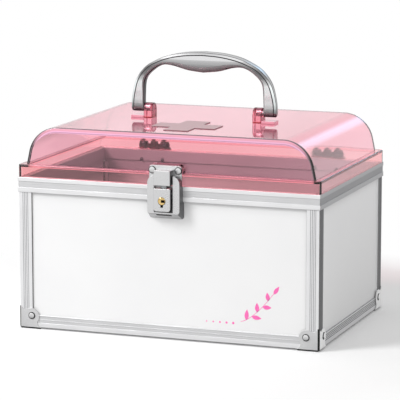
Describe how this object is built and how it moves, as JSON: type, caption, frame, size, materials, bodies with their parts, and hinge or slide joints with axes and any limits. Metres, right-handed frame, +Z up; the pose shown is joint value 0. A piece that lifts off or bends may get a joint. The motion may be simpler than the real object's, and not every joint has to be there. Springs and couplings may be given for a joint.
{
  "type": "medication lock box",
  "caption": "Portable aluminium-framed lock box with a clear pink domed lid on two rear hinges, a swinging bail handle and a key-locked front latch.",
  "frame": {"origin": "on the ground plane, below the middle of the object's bounding box", "axes": "+X to the right seen from the latch, +Y to the rear hinges, +Z up"},
  "size_m": [0.323, 0.2388, 0.2773],
  "materials": {
    "frame_aluminium": "satin anodised, grooved along its length",
    "white_board": "smooth white plastic board, grey inside",
    "pink_plastic": "clear, moulded, glossy",
    "emblem_plastic": "matt moulded plate",
    "handle_chrome": "satin chrome plate",
    "plated_steel": "bright nickel plate",
    "plain_steel": "plain turned steel",
    "lock_brass": "bright turned brass"
  },
  "bodies": {
    "case": {"front_panel": "white_board", "right_panel": "white_board", "rear_panel": "white_board", "left_panel": "white_board", "bottom_panel": "white_board", "front_bottom_rail": "frame_aluminium", "right_bottom_rail": "frame_aluminium", "rear_bottom_rail": "frame_aluminium", "left_bottom_rail": "frame_aluminium", "front_top_rail": "frame_aluminium", "right_top_rail": "frame_aluminium", "rear_top_rail": "frame_aluminium", "left_top_rail": "frame_aluminium", "corner_post_front_left": "frame_aluminium", "corner_post_front_right": "frame_aluminium", "corner_post_rear_right": "frame_aluminium", "corner_post_rear_left": "frame_aluminium", "corner_bracket_front_left": "plated_steel", "corner_bracket_front_right": "plated_steel", "corner_bracket_rear_right": "plated_steel", "corner_bracket_rear_left": "plated_steel", "bracket_rivet_front_a": "plated_steel", "bracket_rivet_front_b": "plated_steel", "bracket_rivet_right_a": "plated_steel", "bracket_rivet_right_b": "plated_steel", "bracket_rivet_rear_a": "plated_steel", "bracket_rivet_rear_b": "plated_steel", "bracket_rivet_left_a": "plated_steel", "bracket_rivet_left_b": "plated_steel", "hinge_lower_leaf_left": "plated_steel", "hinge_lower_leaf_right": "plated_steel", "hinge_pin_left": "plain_steel", "hinge_pin_right": "plain_steel", "hinge_lower_rivet_left_a": "plated_steel", "hinge_lower_rivet_left_b": "plated_steel", "hinge_lower_rivet_right_a": "plated_steel", "hinge_lower_rivet_right_b": "plated_steel", "latch_tray": "plated_steel", "latch_tray_screw_left": "plain_steel", "latch_tray_screw_right": "plain_steel", "lever_pin": "plain_steel"},
    "lid": {"lid_shell": "pink_plastic", "cross_emblem": "emblem_plastic", "hinge_upper_leaf_left": "plated_steel", "hinge_upper_leaf_right": "plated_steel", "hinge_upper_rivet_left_a": "plated_steel", "hinge_upper_rivet_left_b": "plated_steel", "hinge_upper_rivet_right_a": "plated_steel", "hinge_upper_rivet_right_b": "plated_steel", "catch_plate": "plated_steel", "catch_rivet_left": "plated_steel", "catch_rivet_right": "plated_steel"},
    "handle": {"handle": "handle_chrome", "handle_pin_left": "plain_steel", "handle_pin_right": "plain_steel"},
    "lever": {"latch_lever": "plated_steel", "latch_hook": "plain_steel"},
    "lock": {"lock_cylinder": "lock_brass", "lock_cam": "plain_steel", "lock_cam_screw": "plain_steel"}
  },
  "joints": [
    {"name": "lid_hinge", "type": "hinge", "parent": "case", "child": "lid", "pos_m": [0, 0.11713, 0.15613], "axis": [-1, 0, 0], "range_deg": [0, 100]},
    {"name": "handle_swing", "type": "hinge", "parent": "lid", "child": "handle", "pos_m": [0, 0.00363, 0.21725], "axis": [1, 0, 0], "range_deg": [-88, 88]},
    {"name": "latch_rock", "type": "hinge", "parent": "case", "child": "lever", "pos_m": [0, -0.11238, 0.149], "axis": [-1, 0, 0], "range_deg": [-4, 12]},
    {"name": "key_turn", "type": "hinge", "parent": "lever", "child": "lock", "pos_m": [0, -0.11238, 0.14225], "axis": [0, 1, 0], "range_deg": [0, 90]}
  ]
}
